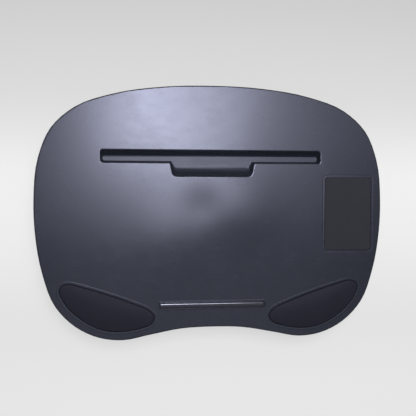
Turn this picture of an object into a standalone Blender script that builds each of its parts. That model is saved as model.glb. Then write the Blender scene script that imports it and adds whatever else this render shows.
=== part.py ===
"""Lap desk: a moulded tray with a tablet slot, mouse pad, wrist pads and stop bar, on two cushions.

Metres, +Z up. The origin is on the floor under the middle of the tray's outline. +X is the right
of the desk and +Y is its rear, as the person who uses it sees them.
"""

import math

import bmesh
import bpy
import numpy as np

# Clearances and joins
gap = 0.0003
overrun = 0.002
merge_distance = 0.00001

# Tray
tray_width = 0.5774
tray_depth = 0.4179
tray_height = 0.022
top_wall = 0.003
side_wall = 0.0025
rim_radius = 0.002
rim_steps = 4
tray_span_steps = 4
rib_thickness = 0.0018
rib_height = 0.007
rib_spacing = 0.125

# The right half of the tray's outline, from the middle of the front to the middle of the rear,
# in shares of half the width and half the depth
tray_outline_shares = (
    (0.000, -0.908), (0.180, -0.918), (0.360, -0.962), (0.510, -0.999), (0.640, -0.977),
    (0.775, -0.886), (0.885, -0.727), (0.955, -0.470), (0.994, -0.150), (1.000, 0.100),
    (0.975, 0.425), (0.905, 0.655), (0.775, 0.817), (0.560, 0.925), (0.290, 0.984), (0.000, 1.000),
)

# Tablet slot with its finger notch, measured at the tray's top
slot_length = 0.366
slot_width = 0.0210
slot_rear_margin = 0.1062
slot_depth = 0.014
slot_rear_lean = 0.0078
slot_draft = 0.0022
slot_corner = 0.0045
slot_floor_radius = 0.0012
slot_rim_width = 0.0016
slot_rim_height = 0.0012
notch_width = 0.140
notch_side_slant = 0.0045
notch_depth = 0.0223
notch_front_lean = 0.0147
notch_corner = 0.008
notch_mouth_corner = 0.003
notch_scoop_power_share = 0.62

# The rounded rim of the slot: shares of its width outwards and of its height downwards
slot_rim_shares = ((1.0, 0.0), (0.35, 0.11), (0.09, 0.42), (0.0, 1.0))

# A low ridge frames each wrist pad, a shallow channel frames the mouse pad and the tray swells
# towards the groove of the stop bar. Each is one wave in section: a crest, a trough, or half a crest
frame_half_width = 0.0022
frame_height = 0.00025
channel_half_width = 0.0024
channel_depth = 0.0002
swell_width = 0.0030
swell_height = 0.00025
frame_land = 0.00015
frame_foot = 0.00005
frame_root = 0.0006
wave_shares = (-1.0, -0.6, -0.25, 0.25, 0.6, 1.0)
half_wave_shares = (-0.15, 0.25, 0.6, 1.0)

# Mouse pad
mouse_width = 0.0805
mouse_corner = 0.005
mouse_side_margin = 0.0177
mouse_rear_margin = 0.1490
mouse_wrist_gap = 0.0507
mouse_recess = 0.0016
mouse_base_thickness = 0.0008
mouse_cloth_thickness = 0.0005
pad_edge_gap = 0.0006

# Wrist pads
wrist_width = 0.1555
wrist_length = 0.0807
wrist_side_margin = 0.0387
wrist_front_margin = 0.0140
wrist_recess = 0.002
wrist_plate_thickness = 0.001
wrist_cover_thickness = 0.0008
wrist_rise = 0.0028
wrist_crown = 0.0014
wrist_edge_radius = 0.0022
wrist_span_steps = 2

# The right wrist pad's outline in shares of half its width and half its length
wrist_outline_shares = (
    (-1.00, -0.42), (-0.93, -0.70), (-0.72, -0.87), (-0.46, -0.97), (-0.20, -1.00),
    (0.08, -0.93), (0.35, -0.71), (0.60, -0.39), (0.81, -0.01), (0.95, 0.41),
    (1.00, 0.70), (0.95, 0.92), (0.82, 1.00), (0.58, 0.90), (0.30, 0.74),
    (0.00, 0.55), (-0.30, 0.35), (-0.60, 0.12), (-0.88, -0.13),
)
wrist_dome_shares = (0.75, 0.42)

# Stop bar and its clips
bar_wrist_gap = 0.0075
bar_width = 0.0088
bar_rise = 0.0035
bar_recess = 0.0020
bar_corner = 0.0015
bar_edge_radius = 0.0012
bar_crown = 0.0009
bar_edge_turn = 50
bar_edge_steps = 3
bar_crown_power = 3
bar_crown_shares = (0.86, 0.72, 0.58, 0.44, 0.30, 0.16, 0.03)
bar_front_margin = 0.0560
bar_groove_gap = 0.0014
peg_radius = 0.002
peg_length = 0.0055
peg_end_margin = 0.0205
clip_radius = 0.0045
clip_thickness = 0.0008
clip_clearance = 0.0003

# Bottom panel and its screws
panel_thickness = 0.002
panel_clearance = 0.0004
screw_head_radius = 0.0032
screw_head_height = 0.0016
screw_shank_radius = 0.0015
screw_length = 0.012
screw_drive_width = 0.0008
screw_drive_depth = 0.001
boss_radius = 0.004
boss_hole_depth = 0.012
screw_clearance = 0.0003

# Places of the right half's screws in shares of half the tray's width and half its depth
screw_place_shares = ((0.40, 0.79), (0.83, 0.46), (0.90, -0.36), (0.17, -0.85))

# Cushions
bolster_height = 0.050
bolster_tray_inset = 0.0292
bolster_channel = 0.060
bolster_bulge = 0.007
bolster_widest_share = 0.48
bolster_edge_width = 0.020
bolster_crown = 0.004
bolster_flat_cut = 0.0005
bolster_span_steps = 2
bolster_cover_thickness = 0.0012
bolster_panel_thickness = 0.001
piping_radius = 0.00125

# The right cushion's outline in shares of half its width and half its depth
bolster_outline_shares = (
    (-1.00, -0.54), (-1.00, -0.68), (-0.92, -0.83), (-0.72, -0.92), (-0.25, -0.98), (0.15, -1.00),
    (0.50, -0.92), (0.78, -0.72), (0.94, -0.42), (1.00, 0.00), (0.94, 0.42), (0.78, 0.71),
    (0.50, 0.87), (0.05, 0.96), (-0.40, 1.00), (-0.75, 0.99), (-0.93, 0.90), (-1.00, 0.75),
    (-1.00, 0.61),
)
bolster_crown_shares = (0.60, 0.22)

# Hook and loop tape between the panel and the cushions
strip_width = 0.025
strip_length = 0.200
strip_corner = 0.003
strip_spacing = 0.110
hook_thickness = 0.0013
loop_thickness = 0.0013

# Heights that follow from the sizes above
loop_bottom = bolster_height + gap
hook_bottom = loop_bottom + loop_thickness + gap
tray_bottom = hook_bottom + hook_thickness + gap
tray_top_height = tray_bottom + tray_height
wall_underside = tray_top_height - top_wall
panel_top = tray_bottom + panel_thickness

# Places that follow from the sizes above
slot_rear = tray_depth / 2 - slot_rear_margin
slot_front = slot_rear - slot_width
wrist_x = tray_width / 2 - wrist_side_margin - wrist_width / 2
wrist_y = -tray_depth / 2 + wrist_front_margin + wrist_length / 2
mouse_rear = tray_depth / 2 - mouse_rear_margin
mouse_front = wrist_y + wrist_length / 2 + mouse_wrist_gap
mouse_length = mouse_rear - mouse_front
mouse_x = tray_width / 2 - mouse_side_margin - mouse_width / 2
mouse_y = (mouse_rear + mouse_front) / 2
bar_length = 2 * (wrist_x - wrist_width / 2 - bar_wrist_gap)
bar_y = -tray_depth / 2 + bar_front_margin
peg_spacing = bar_length / 2 - peg_end_margin
bolster_outer_x = tray_width / 2 - bolster_tray_inset
bolster_half_width = (bolster_outer_x - bolster_channel / 2) / 2
bolster_half_depth = tray_depth / 2 - bolster_tray_inset
bolster_x = bolster_channel / 2 + bolster_half_width


# Outlines

def smooth_closed(points, span_steps):
    """Points along a smooth closed curve through the given ones, span_steps to each span."""
    here = np.asarray(points, dtype=float)
    after = np.roll(here, -1, axis=0)
    chord = after - here
    length = np.linalg.norm(chord, axis=1, keepdims=True)
    last_chord = np.roll(chord, 1, axis=0)
    last_length = np.roll(length, 1, axis=0)
    heading = last_chord * length / last_length + chord * last_length / length
    heading = heading / (length + last_length)
    leaving = heading * length
    arriving = np.roll(heading, -1, axis=0) * length
    curve = []
    for step in range(span_steps):
        t = step / span_steps
        place = here * (2 * t ** 3 - 3 * t ** 2 + 1) + after * (3 * t ** 2 - 2 * t ** 3)
        curve.append(place + leaving * (t ** 3 - 2 * t ** 2 + t) + arriving * (t ** 3 - t ** 2))
    return np.stack(curve, axis=1).reshape(-1, 2)


def grown(outline, distance):
    """A counter-clockwise outline moved outwards by a distance, or inwards if it is negative."""
    ahead = np.roll(outline, -1, axis=0) - outline
    ahead = ahead / np.linalg.norm(ahead, axis=1, keepdims=True)
    normal = np.stack([ahead[:, 1], -ahead[:, 0]], axis=1)
    middle = normal + np.roll(normal, 1, axis=0)
    return outline + distance * middle * 2 / (middle ** 2).sum(axis=1, keepdims=True)


def mirrored(outline):
    """A counter-clockwise outline mirrored in the Y axis, still counter-clockwise."""
    return outline[::-1] * np.array([-1, 1])


def rounded_polygon(corners, steps):
    """Outline through corners given as (x, y, radius), each rounded in the given steps."""
    places = [np.array(corner[:2]) for corner in corners]
    points = []
    for index, corner in enumerate(corners):
        radius = corner[2]
        back = places[index - 1] - places[index]
        ahead = places[(index + 1) % len(corners)] - places[index]
        back = back / np.linalg.norm(back)
        ahead = ahead / np.linalg.norm(ahead)
        half_angle = math.acos(float(back @ ahead)) / 2
        middle = (back + ahead) / np.linalg.norm(back + ahead)
        centre = places[index] + middle * radius / math.sin(half_angle)
        first = places[index] + back * radius / math.tan(half_angle) - centre
        turn = math.copysign(math.pi - 2 * half_angle, ahead[1] * back[0] - ahead[0] * back[1])
        for step in range(steps + 1):
            angle = -turn * step / steps
            cos, sin = math.cos(angle), math.sin(angle)
            points.append(centre + (first[0] * cos - first[1] * sin, first[0] * sin + first[1] * cos))
    return np.array(points)


def rounded_box(width, length, radius, steps):
    """Rectangle about the origin with rounded corners."""
    x = width / 2
    y = length / 2
    return rounded_polygon([(x, -y, radius), (x, y, radius), (-x, y, radius), (-x, -y, radius)], steps)


def tray_outline():
    """The tray's outline, made from its right half and the same points mirrored."""
    half = np.array(tray_outline_shares) * (tray_width / 2, tray_depth / 2)
    other = half[-2:0:-1] * np.array([-1, 1])
    return smooth_closed(np.concatenate([half, other]), tray_span_steps)


def wrist_outline():
    """The right wrist pad's recess, about the middle of its own box."""
    points = np.array(wrist_outline_shares) * (wrist_width / 2, wrist_length / 2)
    return smooth_closed(points, wrist_span_steps)


def bolster_outline():
    """The seam of the right cushion, about the middle of its own box."""
    points = np.array(bolster_outline_shares) * (bolster_half_width, bolster_half_depth)
    return smooth_closed(points, bolster_span_steps)


def slot_outline(share, growth):
    """The slot's T-shaped outline at a share of its depth, from 0 at the top to 1 at the floor."""
    side = slot_length / 2 - slot_draft * share + growth
    rear = slot_rear - slot_rear_lean * share + growth
    front = slot_front + slot_draft * share - growth
    mouth = notch_width / 2 - slot_draft * share + growth
    nose = mouth - notch_side_slant
    scoop = notch_front_lean * (1 - (1 - share) ** notch_scoop_power_share)
    bottom = slot_front - notch_depth + scoop - growth
    reach = front - bottom
    nose_corner = min(notch_corner, reach / 2)
    mouth_corner = min(notch_mouth_corner, reach / 4)
    corners = [
        (side, front, slot_corner), (side, rear, slot_corner),
        (-side, rear, slot_corner), (-side, front, slot_corner),
        (-mouth, front, mouth_corner), (-nose, bottom, nose_corner),
        (nose, bottom, nose_corner), (mouth, front, mouth_corner),
    ]
    return rounded_polygon(corners, 3)


# Making objects

def collection(name):
    """A new collection in the scene."""
    made = bpy.data.collections.new(name)
    bpy.context.scene.collection.children.link(made)
    return made


def material(name, colour, roughness, metallic=0.0):
    """A plain Principled material."""
    made = bpy.data.materials.new(name)
    made.use_nodes = True
    shader = made.node_tree.nodes["Principled BSDF"]
    shader.inputs["Base Color"].default_value = (*colour, 1)
    shader.inputs["Roughness"].default_value = roughness
    shader.inputs["Metallic"].default_value = metallic
    return made


def part(obj, finish):
    """Put a finished object among the desk's parts, with its material, and shade it smooth."""
    for owner in list(obj.users_collection):
        owner.objects.unlink(obj)
    parts.objects.link(obj)
    obj.parent = desk
    obj.data.materials.clear()
    obj.data.materials.append(finish)
    obj.data.shade_smooth()
    obj.data.set_sharp_from_angle(angle=math.radians(35))
    return obj


def from_bmesh(name, bm):
    """A new object from a bmesh, kept among the cutters until it becomes a part."""
    mesh = bpy.data.meshes.new(name)
    bm.to_mesh(mesh)
    bm.free()
    obj = bpy.data.objects.new(name, mesh)
    cutters.objects.link(obj)
    return obj


def meshed(name, curve, height):
    """A mesh object from a curve at a height, its caps welded and its flat faces whole."""
    drawn = bpy.data.objects.new(name, curve)
    cutters.objects.link(drawn)
    drawn.location.z = height
    bpy.context.view_layer.update()
    mesh = bpy.data.meshes.new_from_object(drawn.evaluated_get(bpy.context.evaluated_depsgraph_get()))
    mesh.transform(drawn.matrix_world)
    bpy.data.objects.remove(drawn)
    bm = bmesh.new()
    bm.from_mesh(mesh)
    bmesh.ops.remove_doubles(bm, verts=bm.verts, dist=merge_distance)
    bmesh.ops.dissolve_limit(bm, angle_limit=math.radians(0.1), verts=bm.verts, edges=bm.edges)
    bmesh.ops.recalc_face_normals(bm, faces=bm.faces)
    return from_bmesh(name, bm)


def closed_spline(curve, outline):
    """Give a curve one closed poly spline along an outline."""
    spline = curve.splines.new("POLY")
    spline.points.add(len(outline) - 1)
    flat = np.zeros((len(outline), 4))
    flat[:, :2] = outline
    flat[:, 3] = 1
    spline.points.foreach_set("co", flat.ravel())
    spline.use_cyclic_u = True


def slab(name, outline, bottom, top):
    """A flat plate of an outline between two heights."""
    curve = bpy.data.curves.new(name, "CURVE")
    curve.dimensions = "2D"
    curve.fill_mode = "BOTH"
    curve.extrude = (top - bottom) / 2
    closed_spline(curve, outline)
    return meshed(name, curve, (top + bottom) / 2)


def wave_ring(name, outline, half_width, rise, shares):
    """A ring round an outline whose section is a wave, read off at shares of its half width from
    its middle: a crest to join on if it rises, or a trough to cut out if the rise is negative. Its
    root lies in the tray for a crest, and above it for a trough. A whole wave stands clear of the
    outline, and half a wave starts at it."""
    towards = math.copysign(1, rise)
    whole = shares[0] == -1
    middle = frame_land + half_width * whole
    rings = []
    for share in shares:
        height = rise * (1 + math.cos(math.pi * share)) / 2 - towards * frame_foot
        rings.append((grown(outline, middle + half_width * share), tray_top_height + height))
    root = tray_top_height - towards * frame_root
    rings.append((rings[-1][0], root))
    rings.append((rings[0][0], root))
    return loft(name, rings + rings[:1], ends=())


def tube_ring(name, outline, height, radius, resolution):
    """A closed round rod along an outline at a height."""
    curve = bpy.data.curves.new(name, "CURVE")
    curve.dimensions = "3D"
    curve.bevel_depth = radius
    curve.bevel_resolution = resolution
    closed_spline(curve, outline)
    return meshed(name, curve, height)


def cylinder(name, radius, bottom, top, segments):
    """An upright cylinder on the origin's axis."""
    bm = bmesh.new()
    bmesh.ops.create_cone(bm, cap_ends=True, segments=segments, radius1=radius, radius2=radius,
                          depth=top - bottom)
    bmesh.ops.translate(bm, verts=bm.verts, vec=(0, 0, (top + bottom) / 2))
    return from_bmesh(name, bm)


def box(name, low, high):
    """A box between two corners."""
    bm = bmesh.new()
    bmesh.ops.create_cube(bm, size=1)
    bmesh.ops.scale(bm, verts=bm.verts, vec=np.subtract(high, low))
    bmesh.ops.translate(bm, verts=bm.verts, vec=np.add(high, low) / 2)
    return from_bmesh(name, bm)


def loft(name, rings, ends=(0, -1), open_ends=()):
    """A surface through rings of points given as (outline, height), closed by a flat face at each
    of the ends. A ring given as an open end is closed only while the faces are turned outwards."""
    bm = bmesh.new()
    loops = []
    for outline, height in rings:
        loops.append([bm.verts.new((x, y, height)) for x, y in outline])
    for first, second in zip(loops, loops[1:]):
        for index in range(len(first)):
            bm.faces.new((first[index - 1], first[index], second[index], second[index - 1]))
    faces = {end: bm.faces.new(loops[end]) for end in ends}
    bmesh.ops.remove_doubles(bm, verts=bm.verts, dist=merge_distance)
    bmesh.ops.recalc_face_normals(bm, faces=bm.faces)
    bmesh.ops.delete(bm, geom=[faces[end] for end in open_ends], context="FACES_ONLY")
    return from_bmesh(name, bm)


def copies(name, source, places):
    """One cutter that holds a copy of a cutter's mesh at each (x, y) place."""
    bm = bmesh.new()
    for x, y in places:
        start = len(bm.verts)
        bm.from_mesh(source.data)
        bm.verts.ensure_lookup_table()
        bmesh.ops.translate(bm, verts=bm.verts[start:], vec=(x, y, 0))
    bpy.data.objects.remove(source)
    return from_bmesh(name, bm)


def boolean(target, other, operation):
    """Cut another object out of the target, or join it on."""
    step = target.modifiers.new(other.name, "BOOLEAN")
    step.operation = operation
    step.solver = "EXACT"
    step.object = other
    other.hide_render = True
    other.display_type = "WIRE"


def round_rim(obj, height, radius, steps):
    """Round the edges of an object that lie at a height."""
    mesh = obj.data
    weights = mesh.attributes.new("bevel_weight_edge", "FLOAT", "EDGE")
    for edge in mesh.edges:
        ends = [mesh.vertices[index].co.z for index in edge.vertices]
        weights.data[edge.index].value = float(all(abs(z - height) < merge_distance for z in ends))
    step = obj.modifiers.new("round rim", "BEVEL")
    step.limit_method = "WEIGHT"
    step.width = radius
    step.segments = steps


def both_sides(places):
    """Each (x, y) place and its mirror image, the right ones first."""
    return [(x * side, y) for side in (1, -1) for x, y in places]


def screw_places():
    """Places of all the panel's screws."""
    return both_sides([(x * tray_width / 2, y * tray_depth / 2) for x, y in screw_place_shares])


def peg_places():
    """Places of the stop bar's pegs."""
    return [(offset * peg_spacing, bar_y) for offset in (-1, 0, 1)]


# Tray

def slot_rings():
    """Rings of the slot, from over the tray's top, where its mouth flares, down to its floor."""
    rings = [(slot_outline(0, slot_rim_width), tray_top_height + overrun)]
    for outwards, downwards in slot_rim_shares:
        drop = slot_rim_height * downwards
        rings.append((slot_outline(drop / slot_depth, slot_rim_width * outwards), tray_top_height - drop))
    for share in (0.4, 0.7):
        rings.append((slot_outline(share, 0), tray_top_height - slot_depth * share))
    rings.append((slot_outline(1 - slot_floor_radius / slot_depth, 0),
                  tray_top_height - slot_depth + slot_floor_radius))
    rings.append((slot_outline(1, -slot_floor_radius), tray_top_height - slot_depth))
    return rings


def pocket_rings():
    """Rings of the pocket's outside, a side wall wider and a top wall deeper than the slot."""
    rings = []
    for share in (0, 0.35, 0.65, 1):
        height = tray_top_height - top_wall - slot_depth * share
        rings.append((slot_outline(share, side_wall), height))
    first = (rings[0][0], tray_top_height)
    return [first] + rings


def tray_core():
    """The hollow under the tray: its inside, less the ribs, bosses, pocket and wrist pans."""
    inside = grown(tray_outline(), -side_wall)
    core = slab("tray_core", inside, tray_bottom - overrun, wall_underside)
    rib_bottom = wall_underside - rib_height
    reach = tray_width / 2
    rib_front = wrist_y + wrist_length / 2 + side_wall + rib_thickness
    rib_rear = slot_front - notch_depth - side_wall - rib_thickness
    ribs = []
    for y in (rib_front, rib_rear):
        low = (-reach, y - rib_thickness / 2, rib_bottom)
        high = (reach, y + rib_thickness / 2, tray_top_height)
        ribs.append(box("rib_along", low, high))
    for column in (-1, 0, 1):
        x = column * rib_spacing
        low = (x - rib_thickness / 2, rib_front, rib_bottom)
        high = (x + rib_thickness / 2, rib_rear, tray_top_height)
        ribs.append(box("rib_across", low, high))
    for rib in ribs:
        boolean(core, rib, "DIFFERENCE")
    boolean(core, loft("slot_pocket", pocket_rings()), "DIFFERENCE")
    pan_bottom = wall_underside - wrist_recess
    for side, outline in (("right", wrist_outline()), ("left", mirrored(wrist_outline()))):
        place = (wrist_x if side == "right" else -wrist_x, wrist_y)
        pan = slab("wrist_pan_" + side, grown(outline, side_wall) + place, pan_bottom, tray_top_height)
        boolean(core, pan, "DIFFERENCE")
    boss = cylinder("boss", boss_radius, panel_top + gap, tray_top_height, 12)
    boolean(core, copies("bosses", boss, screw_places()), "DIFFERENCE")
    return core


def recesses():
    """Each recess in the tray's top: its outline, its depth, and its frame's half width, rise and
    wave shares."""
    mouse = rounded_box(mouse_width, mouse_length, mouse_corner, 4)
    bar = rounded_box(bar_length + 2 * bar_groove_gap, bar_width + 2 * bar_groove_gap,
                      bar_corner + bar_groove_gap, 4)
    wrist = wrist_outline()
    channel = (channel_half_width, -channel_depth, wave_shares)
    swell = (swell_width, swell_height, half_wave_shares)
    ridge = (frame_half_width, frame_height, wave_shares)
    return (
        ("mouse_recess", mouse + (mouse_x, mouse_y), mouse_recess, channel),
        ("bar_groove", bar + (0, bar_y), bar_recess, swell),
        ("wrist_recess_right", wrist + (wrist_x, wrist_y), wrist_recess, ridge),
        ("wrist_recess_left", mirrored(wrist) + (-wrist_x, wrist_y), wrist_recess, ridge),
    )


def make_tray():
    """The moulded tray."""
    tray = slab("tray_top", tray_outline(), tray_bottom, tray_top_height)
    round_rim(tray, tray_top_height, rim_radius, rim_steps)
    boolean(tray, tray_core(), "DIFFERENCE")
    for name, outline, _, wave in recesses():
        ring = wave_ring(name + "_frame", outline, *wave)
        rises = wave[1] > 0
        boolean(tray, ring, "UNION" if rises else "DIFFERENCE")
    boolean(tray, loft("slot", slot_rings()), "DIFFERENCE")
    above = tray_top_height + frame_height + overrun
    for name, outline, depth, _ in recesses():
        boolean(tray, slab(name, outline, tray_top_height - depth, above), "DIFFERENCE")
    peg_hole = cylinder("peg_hole", peg_radius + gap, wall_underside - overrun, tray_top_height, 12)
    boolean(tray, copies("peg_holes", peg_hole, peg_places()), "DIFFERENCE")
    hole_top = panel_top + gap + boss_hole_depth
    hole = cylinder("boss_hole", screw_shank_radius + screw_clearance, tray_bottom, hole_top, 10)
    boolean(tray, copies("boss_holes", hole, screw_places()), "DIFFERENCE")
    part(tray, tray_plastic)


# Bottom panel and screws

def screw_profile(clearance):
    """Half the section of a countersunk screw, head down, from its tip to its head."""
    cone_top = screw_head_height + clearance
    return [
        (0, screw_length + clearance),
        (screw_shank_radius * 0.5 + clearance, screw_length + clearance),
        (screw_shank_radius + clearance, screw_length - screw_shank_radius + clearance),
        (screw_shank_radius + clearance, cone_top),
        (screw_head_radius + clearance, 0),
        (0, 0),
    ]


def turned(name, profile, steps):
    """A solid turned about the Z axis from a half section that runs from top to bottom."""
    mesh = bpy.data.meshes.new(name)
    edges = [(index, index + 1) for index in range(len(profile) - 1)]
    mesh.from_pydata([(x, 0, z) for x, z in profile], edges, [])
    obj = bpy.data.objects.new(name, mesh)
    cutters.objects.link(obj)
    turn = obj.modifiers.new("turn", "SCREW")
    turn.steps = steps
    turn.render_steps = steps
    turn.use_merge_vertices = True
    turn.merge_threshold = merge_distance
    return obj


def applied(obj):
    """The object's mesh with its modifiers applied, and the object removed."""
    bpy.context.view_layer.update()
    mesh = bpy.data.meshes.new_from_object(obj.evaluated_get(bpy.context.evaluated_depsgraph_get()))
    bpy.data.objects.remove(obj)
    return mesh


def make_panel():
    """The flat bottom panel, countersunk for its screws."""
    outline = grown(tray_outline(), -side_wall - panel_clearance)
    panel = slab("bottom_panel", outline, tray_bottom, panel_top)
    hole = turned("screw_hole", screw_profile(screw_clearance), 10)
    bm = bmesh.new()
    bm.from_mesh(applied(hole))
    bmesh.ops.translate(bm, verts=bm.verts, vec=(0, 0, tray_bottom))
    low_face = [vert for vert in bm.verts if abs(vert.co.z - tray_bottom) < merge_distance]
    bmesh.ops.translate(bm, verts=low_face, vec=(0, 0, -screw_clearance))
    cutter = from_bmesh("screw_holes", bm)
    boolean(panel, copies("panel_holes", cutter, screw_places()), "DIFFERENCE")
    part(panel, panel_plastic)


def make_screws():
    """Eight countersunk screws with a cross recess, sharing one mesh."""
    screw = turned("screw", screw_profile(0), 10)
    arm = screw_head_radius * 0.6
    half = screw_drive_width / 2
    first = box("drive_x", (-arm, -half, -overrun), (arm, half, screw_drive_depth))
    second = box("drive_y", (-half, -arm, -overrun), (half, arm, screw_drive_depth))
    boolean(screw, first, "DIFFERENCE")
    boolean(screw, second, "DIFFERENCE")
    mesh = applied(screw)
    for number, (x, y) in enumerate(screw_places(), 1):
        copy = bpy.data.objects.new(f"panel_screw_{number}", mesh)
        cutters.objects.link(copy)
        copy.location = (x, y, tray_bottom)
        part(copy, screw_steel)


# Mouse pad

def make_mouse_pad():
    """The rubber base and the cloth that is bonded to it."""
    outline = rounded_box(mouse_width - 2 * pad_edge_gap, mouse_length - 2 * pad_edge_gap,
                          mouse_corner - pad_edge_gap, 4)
    bottom = tray_top_height - mouse_recess + gap
    top = bottom + mouse_base_thickness
    base = slab("mouse_pad_base", outline, bottom, top)
    cloth = slab("mouse_pad_cloth", outline, top + gap, top + gap + mouse_cloth_thickness)
    for obj, finish in ((base, pad_rubber), (cloth, mouse_cloth)):
        obj.location = (mouse_x, mouse_y, 0)
        part(obj, finish)


# Wrist pads

def dome_rings(outline, bottom, shoulder, edge, crown, edge_angles):
    """Rings of a low crowned pad from its bottom edge up to its middle."""
    rings = [(outline, bottom)]
    for angle in edge_angles:
        turn = math.radians(angle)
        growth = edge * (math.cos(turn) - 1)
        rings.append((grown(outline, growth), shoulder + edge * math.sin(turn)))
    inner = rings[-1][0]
    for share in wrist_dome_shares:
        rings.append((inner * share, shoulder + edge + crown * (1 - share ** 2)))
    return rings


def make_wrist_pad(side, outline, x):
    """One wrist pad: a backing plate, foam on it and a cover over both."""
    floor = tray_top_height - wrist_recess + gap
    plate_top = floor + wrist_plate_thickness
    pad = grown(outline, -pad_edge_gap)
    inner = grown(pad, -wrist_cover_thickness - gap)
    shoulder = tray_top_height + wrist_rise - wrist_edge_radius
    plate = slab("wrist_plate_" + side, inner, floor, plate_top)
    cover_rings = dome_rings(pad, floor, shoulder, wrist_edge_radius, wrist_crown, (0, 45, 90))
    cover = loft("wrist_cover_" + side, cover_rings, open_ends=(0,))
    thick = cover.modifiers.new("thickness", "SOLIDIFY")
    thick.thickness = wrist_cover_thickness
    thick.offset = -1
    thick.use_even_offset = True
    foam_edge = wrist_edge_radius - wrist_cover_thickness
    foam_shoulder = shoulder - gap
    foam_rings = dome_rings(inner, plate_top + gap, foam_shoulder, foam_edge, wrist_crown, (0, 90))
    foam = loft("wrist_foam_" + side, foam_rings)
    for obj, finish in ((plate, backing_board), (cover, wrist_fabric), (foam, pad_foam)):
        obj.location = (x, wrist_y, 0)
        part(obj, finish)


# Stop bar

def bar_rings(bottom):
    """Rings of the bar from its bottom up over its rounded edge to its crown. The edge turns in
    until it is as steep as the crown is there, and the crown falls with a power of the distance."""
    last_turn = math.radians(bar_edge_turn)
    crown_foot = tray_top_height + bar_rise - bar_crown
    shoulder = crown_foot - bar_edge_radius * math.sin(last_turn)
    insets = [(0, bottom)]
    for step in range(bar_edge_steps + 1):
        turn = last_turn * step / bar_edge_steps
        insets.append((bar_edge_radius * (1 - math.cos(turn)), shoulder + bar_edge_radius * math.sin(turn)))
    half_top = bar_width / 2 - insets[-1][0]
    for share in bar_crown_shares:
        insets.append((bar_width / 2 - half_top * share,
                       crown_foot + bar_crown * (1 - share ** bar_crown_power)))
    rings = []
    for inset, height in insets:
        corner = max(bar_corner - inset, bar_corner / 10)
        corner = min(corner, (bar_width / 2 - inset) / 2)
        rings.append((rounded_box(bar_length - 2 * inset, bar_width - 2 * inset, corner, 4), height))
    return rings


def make_stop_bar():
    """The glossy bar with three pegs through the tray, and the clips that hold them."""
    bottom = tray_top_height - bar_recess + gap
    bar = loft("stop_bar", bar_rings(bottom))
    peg_bottom = bottom - peg_length
    peg = cylinder("peg", peg_radius, peg_bottom, bottom + overrun / 2, 12)
    pegs = copies("pegs", peg, [(x, 0) for x, _ in peg_places()])
    pegs.location = (0, bar_y, 0)
    bar.location = (0, bar_y, 0)
    boolean(bar, pegs, "UNION")
    part(bar, bar_plastic)
    clip_top = wall_underside - gap
    for number, (x, y) in enumerate(peg_places(), 1):
        clip = cylinder(f"stop_bar_clip_{number}", clip_radius, clip_top - clip_thickness, clip_top, 12)
        hole = cylinder("clip_hole", peg_radius + clip_clearance, clip_top - clip_thickness - overrun,
                        clip_top + overrun, 12)
        clip.location = (x, y, 0)
        hole.location = (x, y, 0)
        boolean(clip, hole, "DIFFERENCE")
        part(clip, screw_steel)


# Cushions

def bolster_rings(outline, inset, bottom, top, edge_angles):
    """Rings of a cushion from its seam down to its crown, inset all round by a thickness."""
    widest = bottom + (top - bottom) * bolster_widest_share
    rings = [(grown(outline, -inset), top)]
    for share in (0.5, 0):
        growth = bolster_bulge * (1 - share ** 2) - inset
        rings.append((grown(outline, growth), widest + (top - widest) * share))
    edge_height = bottom + bolster_crown
    for angle in edge_angles:
        turn = math.radians(angle)
        growth = bolster_bulge - inset - bolster_edge_width * (1 - math.cos(turn))
        rings.append((grown(outline, growth), widest - (widest - edge_height) * math.sin(turn)))
    edge = rings[-1][0]
    for share in bolster_crown_shares:
        rings.append((edge * share, bottom + bolster_crown * share ** 2))
    return rings


def make_bolster(side, outline, x):
    """One cushion: its cover, filling, flat top panel and the piping along the seam."""
    panel_bottom = bolster_height - bolster_panel_thickness
    seam = panel_bottom - gap
    shell_rings = bolster_rings(outline, 0, -bolster_flat_cut, seam, (35, 65, 90))
    shell = loft("bolster_shell_" + side, shell_rings, open_ends=(0,))
    thick = shell.modifiers.new("thickness", "SOLIDIFY")
    thick.thickness = bolster_cover_thickness
    thick.offset = -1
    thick.use_even_offset = True
    reach = bolster_half_width + bolster_bulge + overrun
    depth = bolster_half_depth + bolster_bulge + overrun
    floor = box("bolster_floor_" + side, (-reach, -depth, -bolster_crown), (reach, depth, 0))
    boolean(shell, floor, "DIFFERENCE")
    inset = bolster_cover_thickness + gap
    fill_rings = bolster_rings(outline, inset, inset - bolster_flat_cut, seam - gap, (50, 90))
    fill = loft("bolster_fill_" + side, fill_rings)
    panel = slab("bolster_top_panel_" + side, outline, panel_bottom, bolster_height)
    piping = tube_ring("bolster_piping_" + side, grown(outline, piping_radius + gap), panel_bottom,
                       piping_radius, 1)
    finishes = ((shell, cushion_fabric), (fill, pad_foam), (panel, cushion_fabric),
                (piping, piping_fabric))
    floor.location = (x, 0, 0)
    for obj, finish in finishes:
        obj.location = (x, 0, 0)
        part(obj, finish)


def make_strips():
    """Two pairs of hook and loop tape over each cushion."""
    outline = rounded_box(strip_width, strip_length, strip_corner, 2)
    number = 0
    for side in (1, -1):
        for column in (-1, 1):
            number += 1
            x = side * (bolster_x + column * strip_spacing / 2)
            loop = slab(f"loop_strip_{number}", outline, loop_bottom, loop_bottom + loop_thickness)
            hook = slab(f"hook_strip_{number}", outline, hook_bottom, hook_bottom + hook_thickness)
            for obj in (loop, hook):
                obj.location = (x, 0, 0)
                part(obj, tape_fabric)


# The model

for old in list(bpy.data.objects):
    bpy.data.objects.remove(old)
parts = collection("lap_desk")
cutters = collection("cutters")
desk = bpy.data.objects.new("lap_desk_origin", None)
parts.objects.link(desk)

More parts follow.
